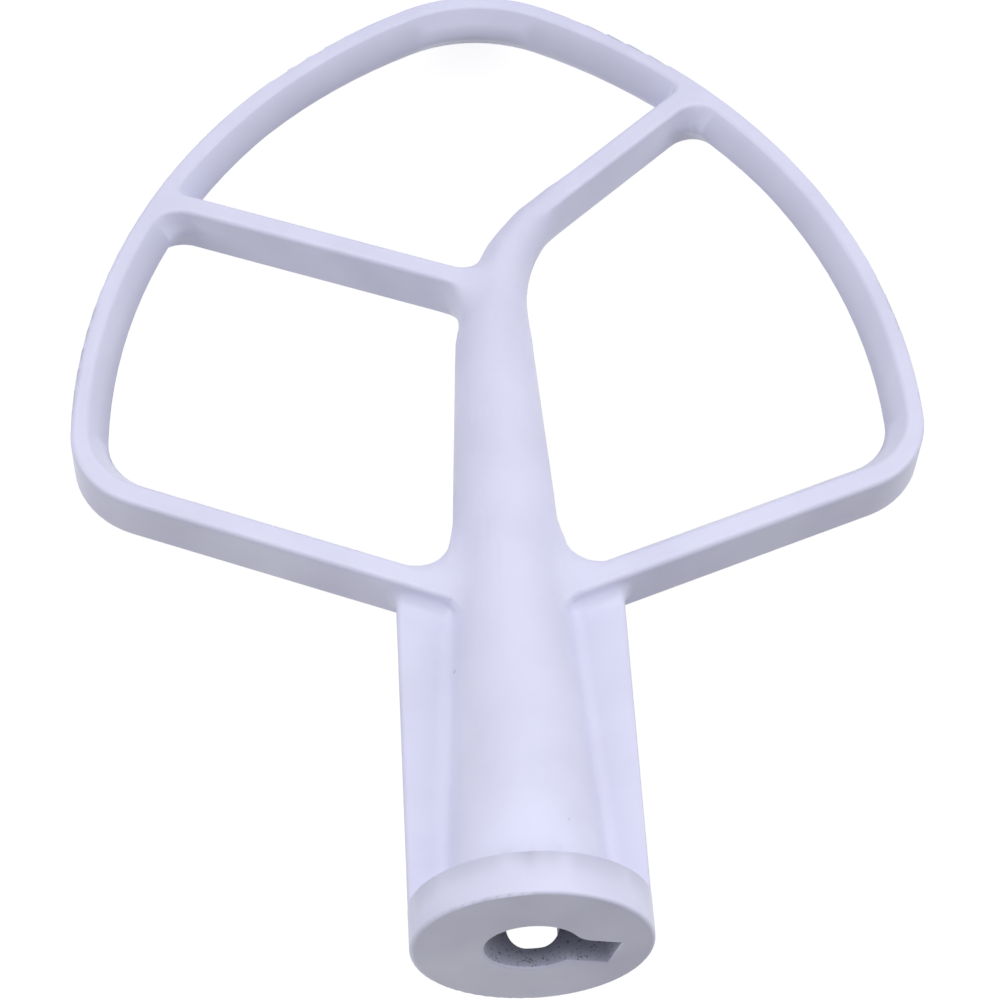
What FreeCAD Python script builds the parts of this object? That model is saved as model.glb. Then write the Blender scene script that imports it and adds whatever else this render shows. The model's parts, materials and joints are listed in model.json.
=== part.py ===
"""Stand mixer flat beater: one casting with a bayonet socket, in millimetres.

Frame: the origin is the centre of the socket's mouth, in the hub's end face. +Z runs along the
socket's axis, out of its mouth, so the beater hangs below it, and its flat lies in the XZ plane.
The front is -Y. The socket's window is in the back.
"""
import FreeCAD, Part
import math
import os
from types import SimpleNamespace

import Sketcher

# Driving sizes: alias, value, what it is
SIZES = (
    ("frame_length", 167.0, "hub end face to the tip of the rim"),
    ("frame_width", 125.0, "across the rim at its widest"),
    ("frame_depth", 8.7, "front face to back face of the rim and arms"),
    ("apex_radius", 25.7, "outer arc at the tip"),
    ("side_radius", 91.4, "outer arc along each side"),
    ("corner_radius", 13.5, "outer arc where the rim turns into a lower arm"),
    ("rim_width", 2.5, "rim bar across its front face"),
    ("rim_swell", 2.7, "how far the inner wall swells inwards at mid depth"),
    ("lower_arm_offset", 45.1, "socket mouth to the lower arms' hub side, square to the arm"),
    ("lower_arm_angle", 21.2, "fall of each lower arm, degrees"),
    ("lower_arm_width", 3.2, "lower arm across its front face"),
    ("cross_arm_offset", 101.0, "socket mouth to the cross arm's centre line, square to it"),
    ("cross_arm_angle", 20.2, "fall of the cross arm, degrees"),
    ("branch_arm_offset", 85.1, "socket mouth to the branch arm's centre line, square to it"),
    ("branch_arm_angle", 42.4, "fall of the branch arm, degrees"),
    ("inner_arm_width", 3.4, "cross and branch arm across their front faces"),
    ("stem_width", 15.0, "core of the frame inside the spine"),
    ("stem_end", 68.0, "socket mouth to the end of that core"),
    ("branch_overlap", 3.6, "how far the branch arm reaches back into the neck's bend"),
    ("root_fillet", 5.0, "corner of each window beside the spine, at mid depth"),
    ("joint_fillet", 4.0, "corner on the hub side of an inner arm, at the rim"),
    ("tip_fillet", 1.2, "corner on the tip side of an inner arm, at the rim"),
    ("edge_radius", 0.9, "rounding along the front and back edges"),
    ("spine_root_radius", 11.0, "spine where it leaves the collar"),
    ("spine_end_radius", 5.65, "spine where the neck starts to bend"),
    ("neck_start", 90.0, "hub end face to the end of the straight cone"),
    ("neck_bend", 30.0, "bend of the neck's centre line into the branch arm"),
    ("neck_width_low", 9.4, "neck across, a third of the way round its bend"),
    ("neck_depth_low", 10.7, "neck front to back there"),
    ("neck_width_high", 7.0, "neck across, two thirds of the way round its bend"),
    ("neck_depth_high", 10.3, "neck front to back there"),
    ("neck_width_top", 5.5, "neck across at the end of its bend"),
    ("neck_depth_top", 9.7, "neck front to back there"),
    ("neck_shift_top", 0.5, "neck's middle there from its centre line, towards the tip"),
    ("neck_run", 7.5, "from the end of the bend to where the neck is lost in the branch arm"),
    ("neck_width_end", 3.0, "neck across at its end, inside the branch arm"),
    ("neck_depth_end", 8.0, "neck front to back there"),
    ("collar_radius", 16.25, "collar at the mouth of the socket"),
    ("collar_length", 6.0, "collar along the axis"),
    ("collar_edge", 0.6, "rounding round the end face"),
    ("flange_width", 32.4, "across both flanges beside the spine"),
    ("flange_depth", 2.8, "flange front to back"),
    ("flange_fillet", 2.5, "hollow corner between a flange and what it joins"),
    ("flange_edge", 0.7, "rounding along a flange's free edge"),
    ("bore_diameter", 12.8, "socket for the drive shaft"),
    ("bore_depth", 38.0, "socket mouth to its flat bottom"),
    ("mouth_edge", 0.4, "rounding round the mouth of the socket and its keyway"),
    ("keyway_width", 6.4, "slot beside the bore, which lets the shaft's pin in"),
    ("keyway_reach", 11.3, "bore axis to the keyway's outer end"),
    ("keyway_turn", 13.0, "keyway from the frame's plane towards the back, degrees"),
    ("keyway_blend", 3.5, "rounding from the bore into the keyway's front wall"),
    ("notch_width", 7.2, "notch in the back wall, where the pin seats"),
    ("notch_shift", 0.6, "notch centre from the bore's axis, towards the keyway"),
    ("notch_corner", 2.6, "corners of the notch's end"),
    ("notch_start", 3.0, "socket mouth to the notch's end"),
    ("window_start", 8.2, "socket mouth to the wide part of the back window"),
    ("window_end", 16.0, "socket mouth to the window's far edge and the keyway's end"),
    ("window_reach", 11.5, "bore axis to the window's outer edge"),
    ("cut_clearance", 1.0, "how far a cut runs past the faces that it opens"),
)
START, END, CENTRE = 1, 2, 3
ORIGIN = (-1, 1)
UPRIGHT_AXIS = -2
QUARTER = math.pi / 2
TINY = 0.01


def make_sheet(doc):
    """Write the driving sizes into a spreadsheet, one alias per row."""
    sheet = doc.addObject("Spreadsheet::Sheet", "Sizes")
    for row, (alias, value, meaning) in enumerate(SIZES, start=1):
        sheet.set("A%d" % row, meaning)
        sheet.set("B%d" % row, str(value))
        sheet.setAlias("B%d" % row, alias)
    doc.recompute()
    return SimpleNamespace(**{alias: sheet.get(alias) for alias, value, meaning in SIZES})


class Profile:
    """A sketch on one of the body's origin planes, with its sizes tied to the sheet."""

    def __init__(self, body, name, role):
        self.sketch = body.newObject("Sketcher::SketchObject", name)
        plane = [p for p in body.Origin.OriginFeatures if p.Role == role][0]
        self.sketch.AttachmentSupport = [(plane, "")]
        self.sketch.MapMode = "FlatFace"

    def line(self, start, end):
        ends = [FreeCAD.Vector(x, y, 0) for x, y in (start, end)]
        return self.sketch.addGeometry(Part.LineSegment(*ends), False)

    def arc(self, centre, radius, start_angle, end_angle):
        circle = Part.Circle(FreeCAD.Vector(*centre, 0), FreeCAD.Vector(0, 0, 1), radius)
        return self.sketch.addGeometry(Part.ArcOfCircle(circle, start_angle, end_angle), False)

    def hold(self, kind, *where):
        """A constraint that has no size, such as Coincident."""
        self.sketch.addConstraint(Sketcher.Constraint(kind, *where))

    def size(self, kind, *where, to):
        """A dimension whose value comes from the sheet through the expression `to`."""
        value = self.sketch.evalExpression(to)
        value = math.radians(value.Value) if kind == "Angle" else float(value)
        index = self.sketch.addConstraint(Sketcher.Constraint(kind, *where, value))
        self.sketch.setExpression("Constraints[%d]" % index, to)

    def smooth(self, *joins):
        """Join ends, given as pairs of (edge, end), so that they run on without a corner."""
        for first, second in zip(joins[::2], joins[1::2]):
            self.hold("Tangent", *first, *second)

    def corner(self, *joins):
        """Join ends, given as pairs of (edge, end), at a sharp corner."""
        for first, second in zip(joins[::2], joins[1::2]):
            self.hold("Coincident", *first, *second)


def slanted(fall, hand):
    """Unit normal of an arm's edge, towards the hub: hand is 1 for the +X side, -1 for the -X side."""
    return (hand * math.sin(fall), math.cos(fall))


def meet(first, second):
    """Where two lines cross, each given as (normal, distance along the normal)."""
    ((a, b), p), ((c, d), q) = first, second
    span = a * d - b * c
    return ((p * d - q * b) / span, (a * q - c * p) / span)


def side_centre(at, hand):
    """Centre of the rim's side arc: level with the widest point, and inside the apex arc's reach."""
    reach = at.side_radius - at.frame_width / 2
    rise = math.sqrt((at.side_radius - at.apex_radius) ** 2 - reach ** 2)
    return (-hand * reach, at.apex_radius - at.frame_length + rise)


def bend_start(at):
    """Depth below the socket mouth at which the neck leaves the axis for the branch arm."""
    crossing = at.branch_arm_offset / math.cos(math.radians(at.branch_arm_angle))
    return crossing - at.neck_bend * math.tan(math.radians(90 - at.branch_arm_angle) / 2)


def spine_slope(at):
    """How much the spine's radius falls per millimetre."""
    return (at.spine_root_radius - at.spine_end_radius) / (bend_start(at) - at.collar_length)


BEND_START = (
    "(Sizes.branch_arm_offset / cos(Sizes.branch_arm_angle * 1 deg)"
    " - Sizes.neck_bend * tan(45 deg - Sizes.branch_arm_angle * 0.5 deg))"
)
SPINE_SLOPE = (
    "((Sizes.spine_root_radius - Sizes.spine_end_radius) / (%s - Sizes.collar_length))" % BEND_START
)
NECK_START_RADIUS = (
    "(Sizes.spine_root_radius - %s * (Sizes.neck_start - Sizes.collar_length))" % SPINE_SLOPE
)
SIDE_CENTRE_DEPTH = (
    "(Sizes.frame_length - Sizes.apex_radius - sqrt((Sizes.side_radius - Sizes.apex_radius)^2"
    " - (Sizes.side_radius - Sizes.frame_width / 2)^2))"
)


def draw_rim(profile, at, inset, inset_rule, arm_distance, arm_rule):
    """Tip, side and corner arcs with the lower arms' edges, set in from the outline by `inset`.

    Returns the two lower arm edges, each drawn from the rim towards the spine: +X first.
    """
    fall = math.radians(at.lower_arm_angle)
    apex_centre = (0.0, at.apex_radius - at.frame_length)
    spread = math.asin((at.side_radius - at.frame_width / 2) / (at.side_radius - at.apex_radius))
    apex = profile.arc(apex_centre, at.apex_radius - inset, -QUARTER - spread, -QUARTER + spread)
    profile.hold("PointOnObject", apex, CENTRE, UPRIGHT_AXIS)
    profile.size("DistanceY", apex, CENTRE, *ORIGIN, to="Sizes.frame_length - Sizes.apex_radius")
    profile.size("Radius", apex, to="Sizes.apex_radius - " + inset_rule)
    side_radius, corner_radius = at.side_radius - inset, at.corner_radius - inset
    edges = []
    for hand in (1, -1):
        normal = slanted(fall, hand)
        centre = side_centre(at, hand)
        reach = centre[0] * normal[0] + centre[1] * normal[1]
        turn = math.asin(-(arm_distance + corner_radius + reach) / (side_radius - corner_radius)) - fall
        pivot = (centre[0] + hand * (side_radius - corner_radius) * math.cos(turn),
                 centre[1] + (side_radius - corner_radius) * math.sin(turn))
        foot = (pivot[0] + corner_radius * normal[0], pivot[1] + corner_radius * normal[1])
        inner = meet((normal, -arm_distance), ((1, 0), hand * at.stem_width))
        arm = profile.line(foot, inner)
        if hand > 0:
            side = profile.arc(centre, side_radius, -QUARTER + spread, turn)
            bend = profile.arc(pivot, corner_radius, turn, QUARTER - fall)
            profile.smooth((apex, END), (side, START), (side, END), (bend, START),
                           (bend, END), (arm, START))
            profile.size("DistanceX", side, CENTRE, *ORIGIN, to="Sizes.side_radius - Sizes.frame_width / 2")
            profile.size("Angle", arm, to="180 deg - Sizes.lower_arm_angle * 1 deg")
            profile.size("Radius", side, to="Sizes.side_radius - " + inset_rule)
            profile.size("Radius", bend, to="Sizes.corner_radius - " + inset_rule)
            first_side, first_bend = side, bend
        else:
            side = profile.arc(centre, side_radius, math.pi - turn, 3 * QUARTER - spread)
            bend = profile.arc(pivot, corner_radius, QUARTER + fall, math.pi - turn)
            profile.smooth((apex, START), (side, END), (side, START), (bend, END),
                           (bend, START), (arm, START))
            profile.size("DistanceX", *ORIGIN, side, CENTRE, to="Sizes.side_radius - Sizes.frame_width / 2")
            profile.size("Angle", arm, to="Sizes.lower_arm_angle * 1 deg")
            profile.hold("Equal", first_side, side)
            profile.hold("Equal", first_bend, bend)
        profile.size("Distance", *ORIGIN, arm, to=arm_rule)
        edges.append(arm)
    return edges


def pad(body, name, profile, depth):
    """Raise a profile evenly to both sides of its plane."""
    feature = body.newObject("PartDesign::Pad", name)
    feature.Profile = profile.sketch
    feature.SideType = "Symmetric"
    feature.setExpression("Length", depth)
    return feature


def pocket(body, name, profile, depth):
    """Cut a profile into the body, away from its plane's normal."""
    feature = body.newObject("PartDesign::Pocket", name)
    feature.Profile = profile.sketch
    feature.setExpression("Length", depth)
    return feature


def add_plate(body, at):
    """The frame's outline as one plate: rim and both lower arms, filled in."""
    profile = Profile(body, "FrameOutline", "XZ_Plane")
    right, left = draw_rim(profile, at, 0, "0", at.lower_arm_offset, "Sizes.lower_arm_offset")
    profile.corner((right, END), (left, END))
    return pad(body, "FramePlate", profile, "Sizes.frame_depth")


def cut_windows(body, at):
    """Open the plate: one window round the stem, whose walls flare from mid depth to both faces."""
    inset = at.rim_width + at.rim_swell
    arm_distance = at.lower_arm_offset + at.lower_arm_width + at.rim_swell
    profile = Profile(body, "WindowOutline", "XZ_Plane")
    arms = draw_rim(profile, at, inset, "(Sizes.rim_width + Sizes.rim_swell)", arm_distance,
                    "Sizes.lower_arm_offset + Sizes.lower_arm_width + Sizes.rim_swell")
    fall = math.radians(at.lower_arm_angle)
    half, deep = at.stem_width / 2, -at.stem_end
    stems = []
    for hand, arm in zip((1, -1), arms):
        centre = meet((slanted(fall, hand), -(arm_distance + at.root_fillet)),
                      ((1, 0), hand * (half + at.root_fillet)))
        stem = profile.line((hand * half, centre[1]), (hand * half, deep))
        profile.hold("Vertical", stem)
        if hand > 0:
            root = profile.arc(centre, at.root_fillet, QUARTER - fall, math.pi)
            profile.smooth((arm, END), (root, START), (root, END), (stem, START))
            profile.size("Radius", root, to="Sizes.root_fillet")
            profile.size("DistanceX", *ORIGIN, stem, END, to="Sizes.stem_width / 2")
            first_root = root
        else:
            root = profile.arc(centre, at.root_fillet, 0, QUARTER + fall)
            profile.smooth((arm, END), (root, END), (root, START), (stem, START))
            profile.hold("Equal", first_root, root)
            profile.size("DistanceX", stem, END, *ORIGIN, to="Sizes.stem_width / 2")
        stems.append(stem)
    cap = profile.line((half, deep), (-half, deep))
    profile.corner((stems[0], END), (cap, START), (cap, END), (stems[1], END))
    profile.hold("Horizontal", cap)
    profile.size("DistanceY", cap, START, *ORIGIN, to="Sizes.stem_end")
    feature = body.newObject("PartDesign::Pocket", "Windows")
    feature.Profile = profile.sketch
    feature.SideType = "Two sides"
    for length, taper in (("Length", "TaperAngle"), ("Length2", "TaperAngle2")):
        feature.setExpression(length, "Sizes.frame_depth / 2 + Sizes.cut_clearance")
        feature.setExpression(taper, "atan(2 * Sizes.rim_swell / Sizes.frame_depth)")
    return feature


def add_arm(body, at, name, hand, inner_end, inner_rule):
    """One straight inner arm: from the middle of the rim to an end that the spine or the neck hides.

    The inner end is square to the arm, at a distance along it from the foot of the origin's normal.
    """
    profile = Profile(body, name.capitalize() + "ArmOutline", "XZ_Plane")
    normal = slanted(math.radians(getattr(at, name + "_arm_angle")), hand)
    along = (hand * normal[1], -hand * normal[0])
    offset, width = getattr(at, name + "_arm_offset"), at.inner_arm_width
    end_radius = at.side_radius - at.rim_width / 2
    centre = side_centre(at, hand)
    edges, angles = [], []
    for sign, distance in (("-", offset - width / 2), ("+", offset + width / 2)):
        gap = -distance - (centre[0] * normal[0] + centre[1] * normal[1])
        run = math.sqrt(end_radius ** 2 - gap ** 2)
        at_rim = [c + gap * n + run * a for c, n, a in zip(centre, normal, along)]
        inside = [-distance * n + inner_end * a for n, a in zip(normal, along)]
        edges.append(profile.line(at_rim, inside))
        angles.append(math.atan2(at_rim[1] - centre[1], at_rim[0] - centre[0]))
        profile.size("Distance", *ORIGIN, edges[-1],
                     to="Sizes.%s_arm_offset %s Sizes.inner_arm_width / 2" % (name, sign))
    near, far = edges
    points = [profile.sketch.Geometry[edge].EndPoint for edge in edges]
    cap = profile.line(*((point.x, point.y) for point in points))
    profile.corner((near, END), (cap, START), (cap, END), (far, END))
    profile.hold("Parallel", near, far)
    profile.hold("Perpendicular", near, cap)
    slope = "Sizes.%s_arm_angle * 1 deg" % name
    if hand > 0:
        end = profile.arc(centre, end_radius, angles[1], angles[0])
        profile.corner((end, START), (far, START), (end, END), (near, START))
        profile.size("Angle", near, to="180 deg - " + slope)
        profile.size("DistanceX", end, CENTRE, *ORIGIN, to="Sizes.side_radius - Sizes.frame_width / 2")
    else:
        end = profile.arc(centre, end_radius, angles[0], angles[1])
        profile.corner((end, START), (near, START), (end, END), (far, START))
        profile.size("Angle", near, to=slope)
        profile.size("DistanceX", *ORIGIN, end, CENTRE, to="Sizes.side_radius - Sizes.frame_width / 2")
    profile.size("DistanceY", end, CENTRE, *ORIGIN, to=SIDE_CENTRE_DEPTH)
    profile.size("Radius", end, to="Sizes.side_radius - Sizes.rim_width / 2")
    profile.size("Distance", *ORIGIN, cap, to=inner_rule)
    return pad(body, name.capitalize() + "Arm", profile, "Sizes.frame_depth")


def add_inner_arms(body, at):
    """The cross arm, to +X, and the branch arm, to -X, which the neck bends into."""
    fall = math.radians(at.cross_arm_angle)
    add_arm(body, at, "cross", 1, at.cross_arm_offset * math.tan(fall),
            "Sizes.cross_arm_offset * tan(Sizes.cross_arm_angle * 1 deg)")
    turn = math.radians(90 - at.branch_arm_angle)
    tangent = at.neck_bend * math.tan(turn / 2)
    crossing = at.branch_arm_offset / math.tan(turn)
    return add_arm(body, at, "branch", -1, crossing + tangent - at.branch_overlap,
                   "Sizes.branch_arm_offset * tan(Sizes.branch_arm_angle * 1 deg)"
                   " + Sizes.neck_bend * tan(45 deg - Sizes.branch_arm_angle * 0.5 deg)"
                   " - Sizes.branch_overlap")


def named(kind, items, wanted):
    """Names of the faces or edges of a shape that pass a test, counted from 1."""
    return ["%s%d" % (kind, index) for index, item in enumerate(items, start=1) if wanted(item)]


def middle(edge):
    """The point half-way along an edge."""
    return edge.valueAt((edge.FirstParameter + edge.LastParameter) / 2)


def fillet(body, name, base, picks, radius):
    """Round the picked edges, or all edges of the picked faces."""
    feature = body.newObject("PartDesign::Fillet", name)
    feature.Base = (base, picks)
    feature.setExpression("Radius", radius)
    body.Document.recompute()
    return feature


def round_frame(body, at, plate):
    """Fillet the corners where the inner arms meet the rim, then the front and back edges."""
    depth = at.frame_depth / 2

    def at_joint(edge, hand, near):
        """True for an edge that climbs from mid depth to a face, at one corner of an arm."""
        heights = sorted(abs(vertex.Y) for vertex in edge.Vertexes)
        if len(heights) < 2 or heights[0] > TINY or heights[1] < depth - TINY:
            return False
        name = "cross" if hand > 0 else "branch"
        normal = slanted(math.radians(getattr(at, name + "_arm_angle")), hand)
        point = middle(edge)
        to_edge = -at.inner_arm_width / 2 if near else at.inner_arm_width / 2
        edge_offset = getattr(at, name + "_arm_offset") + to_edge
        return (point.x * hand > at.collar_radius
                and abs(point.x * normal[0] + point.z * normal[1] + edge_offset) < TINY)

    feature = plate
    for name, near, radius in (("HubJoints", True, "joint_fillet"), ("TipJoints", False, "tip_fillet")):
        picks = named("Edge", feature.Shape.Edges,
                      lambda edge: at_joint(edge, 1, near) or at_joint(edge, -1, near))
        feature = fillet(body, name, feature, picks, "Sizes." + radius)
    flats = named("Face", feature.Shape.Faces,
                  lambda face: abs(abs(face.CenterOfMass.y) - depth) < TINY)
    return fillet(body, "EdgeRounding", feature, flats, "Sizes.edge_radius")


def add_spine(body, at):
    """Collar and tapered round spine, turned about the socket's axis."""
    profile = Profile(body, "SpineSection", "XZ_Plane")
    collar, root = at.collar_radius, at.spine_root_radius
    end = root - spine_slope(at) * (at.neck_start - at.collar_length)
    points = ((0, 0), (collar, 0), (collar, -at.collar_length), (root, -at.collar_length),
              (end, -at.neck_start), (0, -at.neck_start))
    edges = [profile.line(a, b) for a, b in zip(points, points[1:] + points[:1])]
    face, rim, shoulder, cone, cap, axis = edges
    for first, second in zip(edges, edges[1:] + edges[:1]):
        profile.corner((first, END), (second, START))
    profile.corner((face, START), ORIGIN)
    for flat in (face, shoulder, cap):
        profile.hold("Horizontal", flat)
    for upright in (rim, axis):
        profile.hold("Vertical", upright)
    profile.size("DistanceX", *ORIGIN, rim, START, to="Sizes.collar_radius")
    profile.size("DistanceY", rim, END, *ORIGIN, to="Sizes.collar_length")
    profile.size("DistanceX", *ORIGIN, cone, START, to="Sizes.spine_root_radius")
    profile.size("DistanceX", *ORIGIN, cone, END, to=NECK_START_RADIUS)
    profile.size("DistanceY", cone, END, *ORIGIN, to="Sizes.neck_start")
    feature = body.newObject("PartDesign::Revolution", "Spine")
    feature.Profile = profile.sketch
    feature.ReferenceAxis = (profile.sketch, ["V_Axis"])
    feature.Angle = 360
    return feature


def neck_section(body, name, side, depth, turn, width, thickness):
    """One oval across the neck. All values are expressions: how far the centre lies towards -X and
    below the mouth, how far the section is turned, and the oval's size across and front to back.
    """
    profile = Profile(body, name, "XY_Plane")
    sketch = profile.sketch
    sketch.AttachmentOffset = FreeCAD.Placement(FreeCAD.Vector(), FreeCAD.Rotation(90, 0, 0))
    sketch.setExpression("AttachmentOffset.Base.x", "-(%s)" % side)
    sketch.setExpression("AttachmentOffset.Base.z", "-(%s)" % depth)
    sketch.setExpression("AttachmentOffset.Rotation.Roll", turn)
    half_width, half_thickness = (float(sketch.evalExpression(rule)) / 2 for rule in (width, thickness))
    if width == thickness:
        circle = Part.Circle(FreeCAD.Vector(), FreeCAD.Vector(0, 0, 1), half_width)
        ring = sketch.addGeometry(circle, False)
        profile.corner((ring, CENTRE), ORIGIN)
        profile.size("Diameter", ring, to=width)
        return sketch
    long_end, short_end = FreeCAD.Vector(half_thickness, 0, 0), FreeCAD.Vector(0, half_width, 0)
    ring = sketch.addGeometry(Part.Ellipse(long_end, short_end, FreeCAD.Vector()), False)
    sketch.exposeInternalGeometry(ring)
    long_axis, short_axis = ring + 1, ring + 2
    profile.corner((ring, CENTRE), ORIGIN)
    profile.hold("Horizontal", long_axis)
    profile.size("Distance", long_axis, to=thickness)
    profile.size("Distance", short_axis, to=width)
    return sketch


def add_neck(body):
    """The neck: it takes up the cone's round section, bends, and thins out into the branch arm."""
    whole = "(90 deg - Sizes.branch_arm_angle * 1 deg)"
    start_width = "2 * " + NECK_START_RADIUS
    bend_width = "2 * Sizes.spine_end_radius"
    sections = [
        neck_section(body, "NeckStart", "0", "Sizes.neck_start", "0 deg", start_width, start_width),
        neck_section(body, "NeckBend", "0", BEND_START, "0 deg", bend_width, bend_width),
    ]
    bends = (("1 / 3", "low", "0"), ("2 / 3", "high", "0"), ("1", "top", "Sizes.neck_shift_top"))
    for share, level, shift in bends:
        turn = "(%s * %s)" % (whole, share)
        radius = "(Sizes.neck_bend + %s)" % shift
        sections.append(neck_section(
            body, "Neck" + level.capitalize(), "Sizes.neck_bend - %s * cos(%s)" % (radius, turn),
            "%s + %s * sin(%s)" % (BEND_START, radius, turn), turn,
            "Sizes.neck_width_" + level, "Sizes.neck_depth_" + level))
    sections.append(neck_section(
        body, "NeckEnd", "Sizes.neck_bend * (1 - cos({0})) + Sizes.neck_run * sin({0})".format(whole),
        "{1} + Sizes.neck_bend * sin({0}) + Sizes.neck_run * cos({0})".format(whole, BEND_START), whole,
        "Sizes.neck_width_end", "Sizes.neck_depth_end"))
    feature = body.newObject("PartDesign::AdditiveLoft", "Neck")
    feature.Profile = sections[0]
    feature.Sections = sections[1:]
    return feature


def add_flanges(body, at):
    """The thin web on each side of the spine: a round-edged strip from the collar to the lower arms."""
    profile = Profile(body, "FlangeSection", "XY_Plane")
    half, level, edge = at.flange_width / 2, at.flange_depth / 2, at.flange_edge
    turns = []
    for quarter, (sx, sy) in enumerate(((1, 1), (-1, 1), (-1, -1), (1, -1))):
        centre = (sx * (half - edge), sy * (level - edge))
        turns.append(profile.arc(centre, edge, quarter * QUARTER, (quarter + 1) * QUARTER))
    starts = ((half - edge, level), (-half, level - edge), (-half + edge, -level), (half, -level + edge))
    ends = ((-half + edge, level), (-half, -level + edge), (half - edge, -level), (half, level - edge))
    sides = [profile.line(start, end) for start, end in zip(starts, ends)]
    for turn, side, following in zip(turns, sides, turns[1:] + turns[:1]):
        profile.smooth((turn, END), (side, START), (side, END), (following, START))
    profile.size("Radius", turns[0], to="Sizes.flange_edge")
    for turn in turns[1:]:
        profile.hold("Equal", turns[0], turn)
    profile.hold("Horizontal", sides[0])
    for side, span in zip(sides, ("depth", "width", "depth", "width")):
        profile.size("Distance", *ORIGIN, side, to="Sizes.flange_%s / 2" % span)
    feature = body.newObject("PartDesign::Pad", "Flanges")
    feature.Profile = profile.sketch
    feature.Reversed = True
    feature.setExpression("Length", "(Sizes.lower_arm_offset + Sizes.lower_arm_width / 2)"
                          " / cos(Sizes.lower_arm_angle * 1 deg)"
                          " + Sizes.flange_width / 2 * tan(Sizes.lower_arm_angle * 1 deg)")
    return feature


def round_hub(body, at, flanges):
    """Fillet the hollow corners between the flanges and the spine, and the rim of the end face."""
    level = at.flange_depth / 2
    reach = at.flange_width / 2 - at.flange_edge

    def beside_spine(edge):
        """True for an edge that lies on a flange's face, clear of its rounded free edge."""
        points = [vertex.Point for vertex in edge.Vertexes] + [middle(edge)]
        return (all(abs(abs(p.y) - level) < TINY for p in points)
                and abs(middle(edge).x) < reach - TINY)

    hollow = named("Edge", flanges.Shape.Edges, beside_spine)
    feature = fillet(body, "FlangeHollows", flanges, hollow, "Sizes.flange_fillet")
    rim = named("Edge", feature.Shape.Edges, lambda e: abs(middle(e).z) < TINY)
    return fillet(body, "CollarEdge", feature, rim, "Sizes.collar_edge")


def cut_socket(body, at):
    """The blind bore, the keyway beside it, and the window in the back where the pin turns."""
    bore = Profile(body, "BoreCircle", "XY_Plane")
    circle = Part.Circle(FreeCAD.Vector(), FreeCAD.Vector(0, 0, 1), at.bore_diameter / 2)
    ring = bore.sketch.addGeometry(circle, False)
    bore.corner((ring, CENTRE), ORIGIN)
    bore.size("Diameter", ring, to="Sizes.bore_diameter")
    pocket(body, "Bore", bore, "Sizes.bore_depth")

    turn = math.pi - math.radians(at.keyway_turn)
    along, across = (math.cos(turn), math.sin(turn)), (-math.sin(turn), math.cos(turn))
    half = at.keyway_width / 2

    def key_point(reach, side):
        return tuple(reach * a + side * half * b for a, b in zip(along, across))

    keyway = Profile(body, "KeywayOutline", "XY_Plane")
    points = [key_point(0, 1), key_point(at.keyway_reach, 1),
              key_point(at.keyway_reach, -1), key_point(0, -1)]
    edges = [keyway.line(a, b) for a, b in zip(points, points[1:] + points[:1])]
    for first, second in zip(edges, edges[1:] + edges[:1]):
        keyway.corner((first, END), (second, START))
    keyway.hold("Parallel", edges[0], edges[2])
    keyway.hold("Perpendicular", edges[0], edges[1])
    keyway.hold("Perpendicular", edges[0], edges[3])
    keyway.size("Angle", edges[0], to="180 deg - Sizes.keyway_turn * 1 deg")
    keyway.size("Distance", *ORIGIN, edges[1], to="Sizes.keyway_reach")
    keyway.size("Distance", *ORIGIN, edges[0], to="Sizes.keyway_width / 2")
    keyway.size("Distance", *ORIGIN, edges[2], to="Sizes.keyway_width / 2")
    keyway.hold("PointOnObject", *ORIGIN, edges[3])
    pocket(body, "Keyway", keyway, "Sizes.window_end")

    window = Profile(body, "WindowInBack", "XZ_Plane")
    right, left = at.notch_width / 2 - at.notch_shift, -at.notch_width / 2 - at.notch_shift
    corner, top = at.notch_corner, -at.notch_start
    points = [(right, top - corner), (right, -at.window_end), (-at.window_reach, -at.window_end),
              (-at.window_reach, -at.window_start), (left, -at.window_start), (left, top - corner)]
    edges = [window.line(a, b) for a, b in zip(points, points[1:])]
    seat, far, side, near, lip = edges
    for first, second in zip(edges, edges[1:]):
        window.corner((first, END), (second, START))
    crown = window.line((left + corner, top), (right - corner, top))
    right_turn = window.arc((right - corner, top - corner), corner, 0, QUARTER)
    left_turn = window.arc((left + corner, top - corner), corner, QUARTER, math.pi)
    window.smooth((right_turn, START), (seat, START), (right_turn, END), (crown, END),
                  (left_turn, START), (crown, START), (left_turn, END), (lip, END))
    for upright in (seat, side, lip):
        window.hold("Vertical", upright)
    for flat in (far, near, crown):
        window.hold("Horizontal", flat)
    window.hold("Equal", right_turn, left_turn)
    window.size("Radius", right_turn, to="Sizes.notch_corner")
    window.size("DistanceY", crown, START, *ORIGIN, to="Sizes.notch_start")
    window.size("DistanceX", *ORIGIN, seat, START, to="Sizes.notch_width / 2 - Sizes.notch_shift")
    window.size("DistanceX", lip, END, *ORIGIN, to="Sizes.notch_width / 2 + Sizes.notch_shift")
    window.size("DistanceY", far, END, *ORIGIN, to="Sizes.window_end")
    window.size("DistanceY", near, START, *ORIGIN, to="Sizes.window_start")
    window.size("DistanceX", far, END, *ORIGIN, to="Sizes.window_reach")
    feature = pocket(body, "PinWindow", window, "Sizes.collar_radius + Sizes.cut_clearance")
    body.Document.recompute()
    front = key_point(math.sqrt(at.bore_diameter ** 2 / 4 - half ** 2), 1)
    lips = named("Edge", feature.Shape.Edges,
                 lambda e: math.dist((middle(e).x, middle(e).y), front) < TINY and middle(e).z < -TINY)
    feature = fillet(body, "KeywayBlend", feature, lips, "Sizes.keyway_blend")
    reach = at.collar_radius - at.collar_edge - TINY
    mouth = named("Edge", feature.Shape.Edges,
                  lambda e: abs(middle(e).z) < TINY and math.hypot(middle(e).x, middle(e).y) < reach)
    return fillet(body, "MouthEdge", feature, mouth, "Sizes.mouth_edge")


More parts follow.
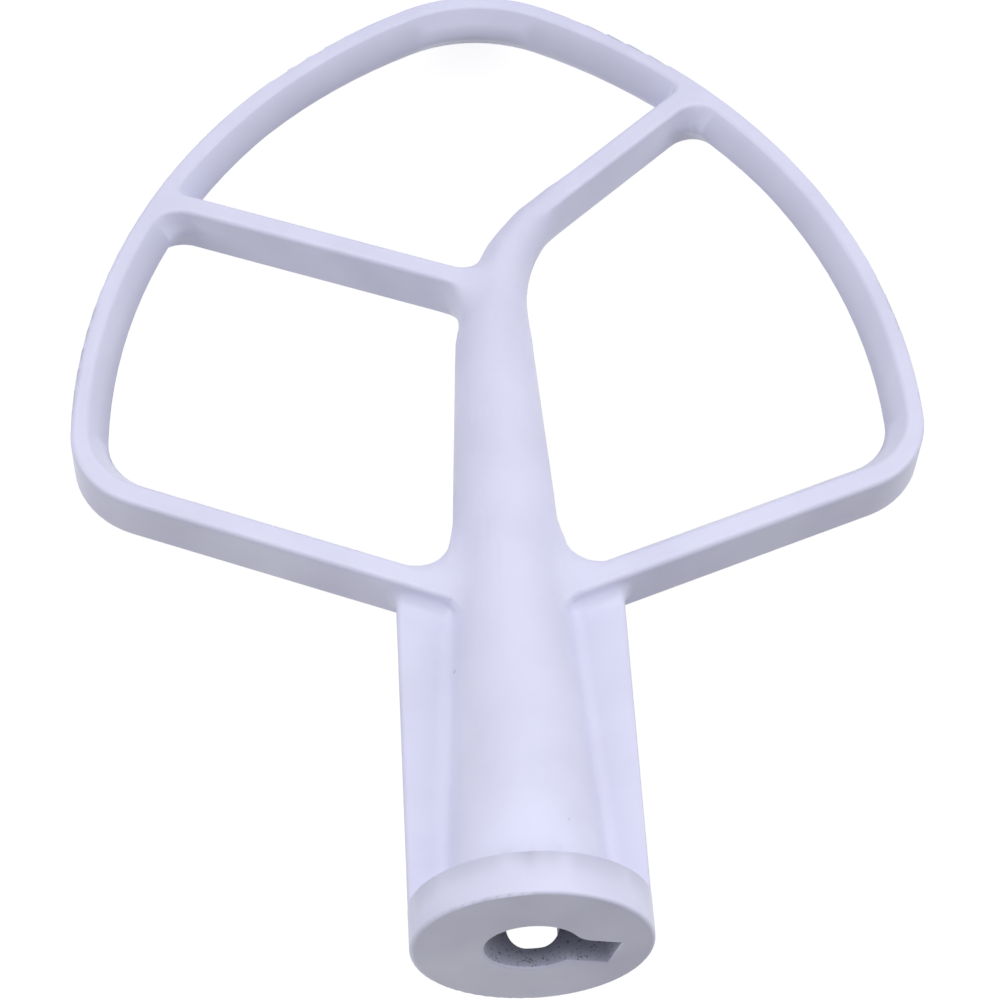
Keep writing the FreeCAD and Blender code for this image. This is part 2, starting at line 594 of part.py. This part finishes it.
def main():
    doc = FreeCAD.newDocument("FlatBeater")
    at = make_sheet(doc)
    body = doc.addObject("PartDesign::Body", "FlatBeater")
    body.Label = "flat_beater"
    add_plate(body, at)
    cut_windows(body, at)
    plate = add_inner_arms(body, at)
    doc.recompute()
    round_frame(body, at, plate)
    add_spine(body, at)
    add_neck(body)
    flanges = add_flanges(body, at)
    doc.recompute()
    round_hub(body, at, flanges)
    cut_socket(body, at)
    doc.recompute()
    for item in doc.Objects:
        if "Invalid" in item.State or "Error" in item.State:
            raise RuntimeError("%s failed: %s" % (item.Name, item.getStatusString()))
    if body.Shape.isNull() or not body.Shape.isValid() or len(body.Shape.Solids) != 1:
        raise RuntimeError("the beater isn't one valid solid")
    os.makedirs("parts", exist_ok=True)
    body.Shape.exportStep("parts/%s.step" % body.Label)


main()
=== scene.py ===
"""Looks of the stand mixer flat beater: a satin white coat on the casting, over a pale studio floor."""

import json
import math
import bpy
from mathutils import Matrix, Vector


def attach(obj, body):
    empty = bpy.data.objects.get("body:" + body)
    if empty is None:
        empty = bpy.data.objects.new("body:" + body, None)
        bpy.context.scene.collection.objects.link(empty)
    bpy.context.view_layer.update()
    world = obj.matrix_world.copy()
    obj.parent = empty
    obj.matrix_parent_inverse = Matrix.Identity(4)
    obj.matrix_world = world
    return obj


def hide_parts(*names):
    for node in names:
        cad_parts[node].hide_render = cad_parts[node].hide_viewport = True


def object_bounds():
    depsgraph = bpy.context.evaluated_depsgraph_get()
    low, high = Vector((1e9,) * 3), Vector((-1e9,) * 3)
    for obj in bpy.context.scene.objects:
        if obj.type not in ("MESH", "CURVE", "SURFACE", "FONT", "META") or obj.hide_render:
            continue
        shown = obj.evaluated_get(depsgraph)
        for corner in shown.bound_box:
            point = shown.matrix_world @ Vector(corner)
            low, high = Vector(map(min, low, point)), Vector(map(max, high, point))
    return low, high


bl_info = {
    "name": "Flat Beater Finish",
    "version": (1, 0, 0),
    "blender": (4, 5, 0),
    "location": "View3D > Sidebar > Beater",
    "description": "Coats the casting of a stand mixer flat beater and sets up its studio",
    "category": "Object",
}

import bmesh
import bpy
from bpy.props import FloatProperty, FloatVectorProperty, PointerProperty
from mathutils import Matrix, Vector
from mathutils.bvhtree import BVHTree

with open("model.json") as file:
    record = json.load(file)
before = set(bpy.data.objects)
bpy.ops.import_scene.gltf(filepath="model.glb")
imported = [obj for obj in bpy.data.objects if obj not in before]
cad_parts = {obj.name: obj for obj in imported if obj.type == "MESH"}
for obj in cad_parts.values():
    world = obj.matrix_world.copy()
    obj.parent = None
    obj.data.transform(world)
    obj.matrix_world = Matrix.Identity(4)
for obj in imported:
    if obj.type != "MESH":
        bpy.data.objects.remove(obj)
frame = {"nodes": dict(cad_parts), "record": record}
CAD_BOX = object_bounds()
NODE = "flat_beater"
MOUTH = next(m for m in frame["record"]["mounts"] if m["name"] == "shaft_socket")
MERGE_DISTANCE = 2e-6
# A sight line to the socket's axis starts this far off the face
SIGHT_MARGIN = 0.0002
SIDES = (1, -1)
# Places where neck, arms and spine flow into one another: centre, reach, rounds of smoothing
FORK_PLACES = (
    ((0.0, 0.0, -0.0905), 0.0105, 26),
    ((0.0030, -0.0010, -0.1075), 0.0090, 30),
    ((-0.0150, 0.0, -0.1300), 0.0130, 34),
    ((-0.0130, -0.0040, -0.1245), 0.0085, 50),
    ((-0.0130, 0.0040, -0.1245), 0.0085, 50),
)
# Corners where the cross arm meets the neck, once for the front and once for the back
CORNER_PLACES = (
    ((0.0068, 0.0040, -0.1052), 0.0070, 90),
    ((0.0050, 0.0036, -0.1132), 0.0062, 80),
)
# Corners beside the spine, once for each of its four quarters
ROOT_PLACES = (
    ((0.0080, 0.0040, -0.0555), 0.0080, 24),
    ((0.0070, 0.0025, -0.0625), 0.0060, 20),
)
SOFT_PLACES = FORK_PLACES + tuple(
    ((x, face * y, z), reach, rounds)
    for (x, y, z), reach, rounds in CORNER_PLACES for face in SIDES
) + tuple(
    ((hand * x, face * y, z), reach, rounds)
    for (x, y, z), reach, rounds in ROOT_PLACES for hand in SIDES for face in SIDES)
# Most times that an edge there is halved, and how far a point moves in one round of smoothing
REFINE_ROUNDS = 7
SMOOTH_STEP = 0.5
# The spine's taper at both ends of its waist: height and radius
TAPER = ((-0.0800, 0.00688), (-0.1020, 0.00565))
# Points this near to the taper, as a share of its radius, are brought to it
TAPER_BAND = 0.2
# The taper takes full hold over one part in so many of its length at either end
TAPER_FADE = 4
# Nicks in the coat: where each one is, and how far across
NICKS = (
    ((0.0085, -0.0030, -0.0407), 0.0006),
    ((-0.0051, -0.0090, -0.0141), 0.0006),
    ((0.0097, -0.0030, -0.0148), 0.0006),
)
# Share of a nick's size inside which it shows fully
NICK_CORE = 0.8
# A wave texture of scale 1 has so many waves in a metre
WAVES_PER_SCALE = 20 / math.tau
STREAK_STRENGTH = 0.2
ROUGHNESS_SWING = 0.06
# The socket's cast wall: ripples and specks in a metre, and the ripples' height
SOCKET_RIPPLES = 900.0
SOCKET_SPECKS = 2600.0
SOCKET_RIPPLE_HEIGHT = 0.00004
SOCKET_ROUGHNESS = 0.55
# Painted shade deepening into the socket: how deep the wall darkens from the thin coat's colour to the
# socket metal, and the thin coat's share at the mouth
SHADE_RAMP_DEPTH = 0.006
MOUTH_PALE_SHARE = 0.7
# A mix node's two colour inputs and its colour output, by number, because their names repeat
MIX_COLOURS = (6, 7)
MIX_RESULT = 2
WHITE = (1, 1, 1, 1)
FLOOR_COLOUR = (0.85, 0.85, 0.86, 1)
# Lamps: where each one stands, its width and height
FRONT_LAMP = ((0.0, -0.75, 0.0), (0.8, 0.3))
BRANCH_LAMP = ((-0.8, -0.5, 0.0), (0.5, 0.5))
CROSS_LAMP = ((0.8, -0.5, 0.0), (0.5, 0.5))
BACK_LAMP = ((0.25, 0.75, 0.25), (0.7, 0.5))
SENSOR_WIDTH = 36.0
NEAREST, FARTHEST = 0.01, 50.0


class BeaterCoat(bpy.types.PropertyGroup):
    """The white coat and the bare metal of the socket."""

    colour: FloatVectorProperty(
        name="Coat colour", description="Colour of the satin coat", subtype="COLOR",
        size=4, min=0, max=1, default=(0.745, 0.75, 0.95, 1))
    shade: FloatVectorProperty(
        name="Thin coat", description="Colour where the coat is a little thinner", subtype="COLOR",
        size=4, min=0, max=1, default=(0.70, 0.70, 0.90, 1))
    nick_colour: FloatVectorProperty(
        name="Nick colour", description="Metal that shows in a nick of the coat", subtype="COLOR",
        size=4, min=0, max=1, default=(0.56, 0.56, 0.66, 1))
    metal: FloatVectorProperty(
        name="Socket metal", description="Cast metal inside the socket", subtype="COLOR",
        size=4, min=0, max=1, default=(0.30, 0.31, 0.38, 1))
    pits: FloatVectorProperty(
        name="Socket pits", description="Dark pits in the socket's cast wall", subtype="COLOR",
        size=4, min=0, max=1, default=(0.17, 0.17, 0.22, 1))
    sheen_roughness: FloatProperty(
        name="Coat roughness", description="0 is a mirror, 1 is chalk", subtype="FACTOR",
        min=0, max=1, default=0.42)
    peel_size: FloatProperty(
        name="Orange peel", description="Length of the ripples in the coat", unit="LENGTH",
        min=0, default=0.0013)
    peel_depth: FloatProperty(
        name="Peel depth", description="Height of those ripples", unit="LENGTH", min=0, default=0.000012)
    streak_pitch: FloatProperty(
        name="Wall streaks", description="Spacing of the fine lines along the walls", unit="LENGTH",
        min=0, default=0.0009)
    soft_grain: FloatProperty(
        name="Soft grain", description="Longest edge of the mesh where the forms flow together",
        unit="LENGTH", min=0.0003, default=0.0011)
    crease_angle: FloatProperty(
        name="Crease angle", description="Edges sharper than this stay crisp", subtype="ANGLE",
        min=0, max=math.pi, default=math.radians(32))


class BeaterStudio(bpy.types.PropertyGroup):
    """Camera, lamps and floor."""

    lens: FloatProperty(
        name="Lens", description="Focal length on a 36 mm sensor", unit="CAMERA", default=103.8)
    camera_place: FloatVectorProperty(
        name="Camera", description="Where the camera stands", subtype="TRANSLATION", unit="LENGTH",
        size=3, default=(0.0249, -0.3469, 0.1617))
    camera_aim: FloatVectorProperty(
        name="Aim", description="Direction in which the camera looks", subtype="DIRECTION",
        size=3, default=(-0.05806, 0.82685, -0.55486))
    camera_up: FloatVectorProperty(
        name="Picture's up", description="Direction that is up in the picture", subtype="DIRECTION",
        size=3, default=(-0.02433, -0.5568, -0.82721))
    front_power: FloatProperty(
        name="Front lamp", description="Power of the large soft lamp in front", unit="POWER", default=2.1)
    branch_power: FloatProperty(
        name="Branch side lamp", description="Power of the soft lamp at the branch arm's side",
        unit="POWER", default=3.4)
    cross_power: FloatProperty(
        name="Cross side lamp", description="Power of the soft lamp at the cross arm's side",
        unit="POWER", default=2.75)
    back_power: FloatProperty(
        name="Back lamp", description="Power of the lamp behind the beater", unit="POWER", default=1.0)
    ambient: FloatProperty(
        name="Ambient", description="Even light from all round", min=0, default=0.25)
    floor_glow: FloatProperty(
        name="Floor white", description="White that the floor adds where the camera sees it",
        min=0, default=0.66)
    floor_size: FloatProperty(
        name="Floor", description="Length of the floor's sides", unit="LENGTH", default=12.0)


def place(tree, kind, spot, values=None, **settings):
    """Add a node to a tree, with its own settings and the values of its inputs."""
    node = tree.nodes.new(kind)
    node.location = spot
    for name, value in settings.items():
        setattr(node, name, value)
    for name, value in (values or {}).items():
        node.inputs[name].default_value = value
    return node


def cast_skin_group():
    """Node group shared by coat and metal: ripples, clouds and specks of a cast, powder-coated skin."""
    group = bpy.data.node_groups.new("CastSkin", "ShaderNodeTree")
    face = group.interface
    face.new_socket("Vector", in_out="INPUT", socket_type="NodeSocketVector")
    face.new_socket("Ripple Scale", in_out="INPUT", socket_type="NodeSocketFloat")
    face.new_socket("Speck Scale", in_out="INPUT", socket_type="NodeSocketFloat")
    face.new_socket("Height", in_out="OUTPUT", socket_type="NodeSocketFloat")
    face.new_socket("Clouds", in_out="OUTPUT", socket_type="NodeSocketFloat")
    face.new_socket("Specks", in_out="OUTPUT", socket_type="NodeSocketFloat")
    put = place(group, "NodeGroupInput", (-600, 0))
    out = place(group, "NodeGroupOutput", (500, 0))
    ripple = place(group, "ShaderNodeTexNoise", (-300, 200), {"Detail": 2.0, "Roughness": 0.45})
    cloud = place(group, "ShaderNodeTexNoise", (-300, -50), {"Scale": 70.0, "Detail": 4.0})
    speck = place(group, "ShaderNodeTexNoise", (-300, -300), {"Detail": 1.0})
    clear = place(group, "ShaderNodeMapRange", (0, -300), {"From Min": 0.60, "From Max": 0.74})
    soft = place(group, "ShaderNodeMapRange", (0, -50), {"From Min": 0.35, "From Max": 0.65})
    for texture in (ripple, cloud, speck):
        group.links.new(put.outputs["Vector"], texture.inputs["Vector"])
    group.links.new(put.outputs["Ripple Scale"], ripple.inputs["Scale"])
    group.links.new(put.outputs["Speck Scale"], speck.inputs["Scale"])
    group.links.new(speck.outputs["Fac"], clear.inputs["Value"])
    group.links.new(cloud.outputs["Fac"], soft.inputs["Value"])
    group.links.new(ripple.outputs["Fac"], out.inputs["Height"])
    group.links.new(soft.outputs["Result"], out.inputs["Clouds"])
    group.links.new(clear.outputs["Result"], out.inputs["Specks"])
    return group


def start_material(name):
    """An empty node material with its shader, and the shared skin on Object coordinates."""
    material = bpy.data.materials.new(name)
    material.use_nodes = True
    tree = material.node_tree
    tree.nodes.clear()
    shader = place(tree, "ShaderNodeBsdfPrincipled", (600, 0))
    output = place(tree, "ShaderNodeOutputMaterial", (900, 0))
    tree.links.new(shader.outputs["BSDF"], output.inputs["Surface"])
    where = place(tree, "ShaderNodeTexCoord", (-900, 0))
    skin = place(tree, "ShaderNodeGroup", (-600, 0),
                 node_tree=bpy.data.node_groups.get("CastSkin") or cast_skin_group())
    tree.links.new(where.outputs["Object"], skin.inputs["Vector"])
    return material, tree, shader, where, skin


def blend_colours(tree, spot, share, first, second):
    """Mix two colours by a mask. Each colour is a value or another node's output."""
    mix = place(tree, "ShaderNodeMix", spot, data_type="RGBA")
    tree.links.new(share, mix.inputs["Factor"])
    for number, colour in zip(MIX_COLOURS, (first, second)):
        socket = mix.inputs[number]
        if isinstance(colour, bpy.types.NodeSocket):
            tree.links.new(colour, socket)
        else:
            socket.default_value = colour
    return mix.outputs[MIX_RESULT]


def nick_mask(tree, where, skin):
    """1 inside a nick of the coat, with a ragged edge, and 0 elsewhere."""
    whole = None
    for row, (spot, size) in enumerate(NICKS):
        far = place(tree, "ShaderNodeVectorMath", (-600, -600 - 200 * row), operation="DISTANCE")
        far.inputs[1].default_value = spot
        tree.links.new(where.outputs["Object"], far.inputs[0])
        ragged = place(tree, "ShaderNodeMath", (-400, -600 - 200 * row), operation="MULTIPLY_ADD")
        ragged.inputs[1].default_value = size
        tree.links.new(skin.outputs["Height"], ragged.inputs[0])
        tree.links.new(far.outputs["Value"], ragged.inputs[2])
        inside = place(tree, "ShaderNodeMapRange", (-200, -600 - 200 * row),
                       {"From Min": size, "From Max": NICK_CORE * size})
        tree.links.new(ragged.outputs["Value"], inside.inputs["Value"])
        if whole is None:
            whole = inside.outputs["Result"]
        else:
            join = place(tree, "ShaderNodeMath", (0, -600 - 200 * row), operation="MAXIMUM")
            tree.links.new(whole, join.inputs[0])
            tree.links.new(inside.outputs["Result"], join.inputs[1])
            whole = join.outputs["Value"]
    return whole


def coat_material(coat):
    """Satin white coat: orange peel, faint clouds, fine streaks along the walls, a few nicks."""
    material, tree, shader, where, skin = start_material("white_coat")
    skin.inputs["Ripple Scale"].default_value = 1 / coat.peel_size
    streak = place(tree, "ShaderNodeTexWave", (-600, -300), bands_direction="Y", wave_profile="SIN",
                   values={"Scale": 1 / (WAVES_PER_SCALE * coat.streak_pitch), "Distortion": 1.6,
                           "Detail": 2.0, "Detail Scale": 0.35})
    tree.links.new(where.outputs["Object"], streak.inputs["Vector"])
    colour = blend_colours(tree, (-200, 200), skin.outputs["Clouds"], tuple(coat.colour), tuple(coat.shade))
    nicked = blend_colours(tree, (100, 300), nick_mask(tree, where, skin), colour, tuple(coat.nick_colour))
    tree.links.new(nicked, shader.inputs["Base Color"])
    rough = place(tree, "ShaderNodeMapRange", (-200, -50),
                  {"To Min": coat.sheen_roughness - ROUGHNESS_SWING,
                   "To Max": coat.sheen_roughness + ROUGHNESS_SWING})
    tree.links.new(skin.outputs["Clouds"], rough.inputs["Value"])
    tree.links.new(rough.outputs["Result"], shader.inputs["Roughness"])
    peel = place(tree, "ShaderNodeBump", (200, -250), {"Strength": 1.0, "Distance": coat.peel_depth})
    lines = place(tree, "ShaderNodeBump", (0, -400),
                  {"Strength": STREAK_STRENGTH, "Distance": coat.peel_depth})
    tree.links.new(streak.outputs["Fac"], lines.inputs["Height"])
    tree.links.new(lines.outputs["Normal"], peel.inputs["Normal"])
    tree.links.new(skin.outputs["Height"], peel.inputs["Height"])
    tree.links.new(peel.outputs["Normal"], shader.inputs["Normal"])
    return material


def socket_material(coat):
    """Cast metal inside the socket: grey and pitted, paler near the mouth and darker deeper in, which is
    painted shade of the bore.
    """
    material, tree, shader, where, skin = start_material("socket_metal")
    skin.inputs["Ripple Scale"].default_value = SOCKET_RIPPLES
    skin.inputs["Speck Scale"].default_value = SOCKET_SPECKS
    apart = place(tree, "ShaderNodeSeparateXYZ", (-600, -300))
    tree.links.new(where.outputs["Object"], apart.inputs["Vector"])
    # Painted shade: the socket's wall is paler at the mouth and darkens deeper in
    depth_shade = place(tree, "ShaderNodeMapRange", (-400, -300),
                  {"From Min": -SHADE_RAMP_DEPTH, "From Max": 0.0, "To Min": 0.0, "To Max": MOUTH_PALE_SHARE})
    tree.links.new(apart.outputs["Z"], depth_shade.inputs["Value"])
    depth_shaded = blend_colours(tree, (-200, 200), depth_shade.outputs["Result"], tuple(coat.metal), tuple(coat.shade))
    pitted = blend_colours(tree, (100, 200), skin.outputs["Specks"], depth_shaded, tuple(coat.pits))
    tree.links.new(pitted, shader.inputs["Base Color"])
    shader.inputs["Roughness"].default_value = SOCKET_ROUGHNESS
    bump = place(tree, "ShaderNodeBump", (200, -250), {"Strength": 1.0, "Distance": SOCKET_RIPPLE_HEIGHT})
    tree.links.new(skin.outputs["Height"], bump.inputs["Height"])
    tree.links.new(bump.outputs["Normal"], shader.inputs["Normal"])
    return material


def in_socket(tree, face):
    """True for a face inside the socket: the way straight across to the socket's axis is clear."""
    depth = MOUTH["dims"]["length_mm"] / 1000
    start = face.calc_center_median() + face.normal * SIGHT_MARGIN
    if not -depth - SIGHT_MARGIN < start.z < -SIGHT_MARGIN:
        return False
    across = Vector((-start.x, -start.y, 0))
    return tree.ray_cast(start, across, across.length)[0] is None


def even_waist(shape):
    """Bring the waist, where the neck takes over from the cone, to the spine's straight taper."""
    (top, wide), (end, slim) = TAPER
    for vertex in shape.verts:
        share = (top - vertex.co.z) / (top - end)
        radial = Vector((vertex.co.x, vertex.co.y, 0))
        short = wide + (slim - wide) * share - radial.length
        if 0 < share < 1 and abs(short) < TAPER_BAND * wide:
            vertex.co += radial.normalized() * short * min(1, TAPER_FADE * share, TAPER_FADE * (1 - share))


def soften(shape, grain):
    """Refine the mesh where the casting's forms meet, and smooth it, as a mould leaves it."""
    for spot, reach, rounds in SOFT_PLACES:
        centre = Vector(spot)
        for _ in range(REFINE_ROUNDS):
            near = [v for v in shape.verts if (v.co - centre).length < reach]
            around = dict.fromkeys(edge for v in near for edge in v.link_edges)
            coarse = [edge for edge in around if edge.calc_length() > grain]
            if not coarse:
                break
            bmesh.ops.subdivide_edges(shape, edges=coarse, cuts=1, use_single_edge=True)
            bmesh.ops.triangulate(shape, faces=[f for f in shape.faces if len(f.verts) > 3])
        shares = [(1 - (v.co - centre).length / reach, v) for v in shape.verts]
        for step in range(rounds):
            shares = [(share, v) for share, v in shares if share > step / rounds]
            bmesh.ops.smooth_vert(shape, verts=[v for share, v in shares], factor=SMOOTH_STEP,
                                  use_axis_x=True, use_axis_y=True, use_axis_z=True)


class BEATER_OT_casting(bpy.types.Operator):
    """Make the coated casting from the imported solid, with its welded and smoothed mesh"""

    bl_idname = "beater.casting"
    bl_label = "Coated Casting"

    def execute(self, context):
        coat = context.scene.beater_coat
        mesh = frame["nodes"][NODE].data.copy()
        mesh.name = "coated_casting"
        mesh.materials.clear()
        mesh.materials.append(coat_material(coat))
        mesh.materials.append(socket_material(coat))
        shape = bmesh.new()
        shape.from_mesh(mesh)
        bmesh.ops.remove_doubles(shape, verts=shape.verts, dist=MERGE_DISTANCE)
        soften(shape, coat.soft_grain)
        even_waist(shape)
        shape.normal_update()
        tree = BVHTree.FromBMesh(shape)
        for face in shape.faces:
            face.smooth = True
            face.material_index = int(in_socket(tree, face))
        shape.to_mesh(mesh)
        shape.free()
        mesh.set_sharp_from_angle(angle=coat.crease_angle)
        piece = bpy.data.objects.new("coated_casting", mesh)
        context.scene.collection.objects.link(piece)
        weighted = piece.modifiers.new("Weighted normals", "WEIGHTED_NORMAL")
        weighted.keep_sharp = True
        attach(piece, "root")
        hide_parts(NODE)
        return {"FINISHED"}


def add_lamp(context, name, spot, size, target, power):
    """Add a rectangular soft lamp at a spot, aimed at a target."""
    data = bpy.data.lights.new(name, "AREA")
    data.shape = "RECTANGLE"
    data.size, data.size_y = size
    data.energy = power
    lamp = bpy.data.objects.new(name, data)
    context.scene.collection.objects.link(lamp)
    lamp.location = spot
    lamp.rotation_euler = (Vector(target) - Vector(spot)).to_track_quat("-Z", "Y").to_euler()


def seen_mask(tree, spot):
    """1 for rays from the camera, from a glossy surface or through glass, and 0 for the rest."""
    path = place(tree, "ShaderNodeLightPath", spot)
    glossy = place(tree, "ShaderNodeMath", (spot[0] + 200, spot[1]), operation="MAXIMUM")
    clear = place(tree, "ShaderNodeMath", (spot[0] + 400, spot[1]), operation="MAXIMUM")
    tree.links.new(path.outputs["Is Camera Ray"], glossy.inputs[0])
    tree.links.new(path.outputs["Is Glossy Ray"], glossy.inputs[1])
    tree.links.new(glossy.outputs["Value"], clear.inputs[0])
    tree.links.new(path.outputs["Is Transmission Ray"], clear.inputs[1])
    return clear.outputs["Value"]


class BEATER_OT_studio(bpy.types.Operator):
    """Set up the pale floor, the soft lamps, the white surroundings and the camera"""

    bl_idname = "beater.studio"
    bl_label = "Studio"

    def execute(self, context):
        studio = context.scene.beater_studio
        context.scene.view_settings.view_transform = "Standard"
        self.add_floor(context, studio)
        self.light(context, studio)
        self.add_camera(context, studio)
        return {"FINISHED"}

    def add_floor(self, context, studio):
        shape = bmesh.new()
        bmesh.ops.create_grid(shape, x_segments=1, y_segments=1, size=studio.floor_size / 2,
                              matrix=Matrix.Translation((0, 0, CAD_BOX[0].z)))
        mesh = bpy.data.meshes.new("studio_floor")
        shape.to_mesh(mesh)
        shape.free()
        material = bpy.data.materials.new("pale_floor")
        material.use_nodes = True
        tree = material.node_tree
        tree.nodes.clear()
        matt = place(tree, "ShaderNodeBsdfDiffuse", (0, 200), {"Color": FLOOR_COLOUR})
        glow = place(tree, "ShaderNodeEmission", (0, 0), {"Color": WHITE})
        scale = place(tree, "ShaderNodeMath", (-200, 0), operation="MULTIPLY")
        scale.inputs[1].default_value = studio.floor_glow
        both = place(tree, "ShaderNodeAddShader", (200, 100))
        output = place(tree, "ShaderNodeOutputMaterial", (400, 100))
        tree.links.new(seen_mask(tree, (-900, 0)), scale.inputs[0])
        tree.links.new(scale.outputs["Value"], glow.inputs["Strength"])
        tree.links.new(matt.outputs["BSDF"], both.inputs[0])
        tree.links.new(glow.outputs["Emission"], both.inputs[1])
        tree.links.new(both.outputs["Shader"], output.inputs["Surface"])
        mesh.materials.append(material)
        floor = bpy.data.objects.new("studio_floor", mesh)
        context.scene.collection.objects.link(floor)

    def light(self, context, studio):
        middle = (CAD_BOX[0] + CAD_BOX[1]) / 2
        add_lamp(context, "front_lamp", *FRONT_LAMP, middle, studio.front_power)
        add_lamp(context, "branch_side_lamp", *BRANCH_LAMP, middle, studio.branch_power)
        add_lamp(context, "cross_side_lamp", *CROSS_LAMP, middle, studio.cross_power)
        add_lamp(context, "back_lamp", *BACK_LAMP, middle, studio.back_power)
        world = bpy.data.worlds.new("white_surroundings")
        context.scene.world = world
        world.use_nodes = True
        tree = world.node_tree
        tree.nodes.clear()
        sky = place(tree, "ShaderNodeBackground", (0, 0), {"Color": WHITE})
        strength = place(tree, "ShaderNodeMapRange", (-200, 0), {"To Min": studio.ambient, "To Max": 1.0})
        output = place(tree, "ShaderNodeOutputWorld", (200, 0))
        tree.links.new(seen_mask(tree, (-900, 0)), strength.inputs["Value"])
        tree.links.new(strength.outputs["Result"], sky.inputs["Strength"])
        tree.links.new(sky.outputs["Background"], output.inputs["Surface"])

    def add_camera(self, context, studio):
        data = bpy.data.cameras.new("studio_camera")
        data.lens = studio.lens
        data.sensor_width = SENSOR_WIDTH
        data.clip_start, data.clip_end = NEAREST, FARTHEST
        camera = bpy.data.objects.new("studio_camera", data)
        context.scene.collection.objects.link(camera)
        back = -Vector(studio.camera_aim).normalized()
        across = Vector(studio.camera_up).cross(back).normalized()
        turn = Matrix((across, back.cross(across), back)).transposed()
        camera.matrix_world = Matrix.Translation(studio.camera_place) @ turn.to_4x4()
        context.scene.camera = camera


class BEATER_PT_panel(bpy.types.Panel):
    """Lists the steps that finish the beater"""

    bl_label = "Flat Beater"
    bl_idname = "BEATER_PT_panel"
    bl_space_type = "VIEW_3D"
    bl_region_type = "UI"
    bl_category = "Beater"

    def draw(self, context):
        for step in (BEATER_OT_casting, BEATER_OT_studio):
            self.layout.operator(step.bl_idname)
        for group in (context.scene.beater_coat, context.scene.beater_studio):
            box = self.layout.box()
            for name in group.__annotations__:
                box.prop(group, name)


CLASSES = (BeaterCoat, BeaterStudio, BEATER_OT_casting, BEATER_OT_studio, BEATER_PT_panel)


def register():
    for item in CLASSES:
        bpy.utils.register_class(item)
    bpy.types.Scene.beater_coat = PointerProperty(type=BeaterCoat)
    bpy.types.Scene.beater_studio = PointerProperty(type=BeaterStudio)


def unregister():
    del bpy.types.Scene.beater_studio
    del bpy.types.Scene.beater_coat
    for item in reversed(CLASSES):
        bpy.utils.unregister_class(item)


def main():
    register()
    bpy.ops.beater.casting()
    bpy.ops.beater.studio()


if __name__ == "__main__":
    main()
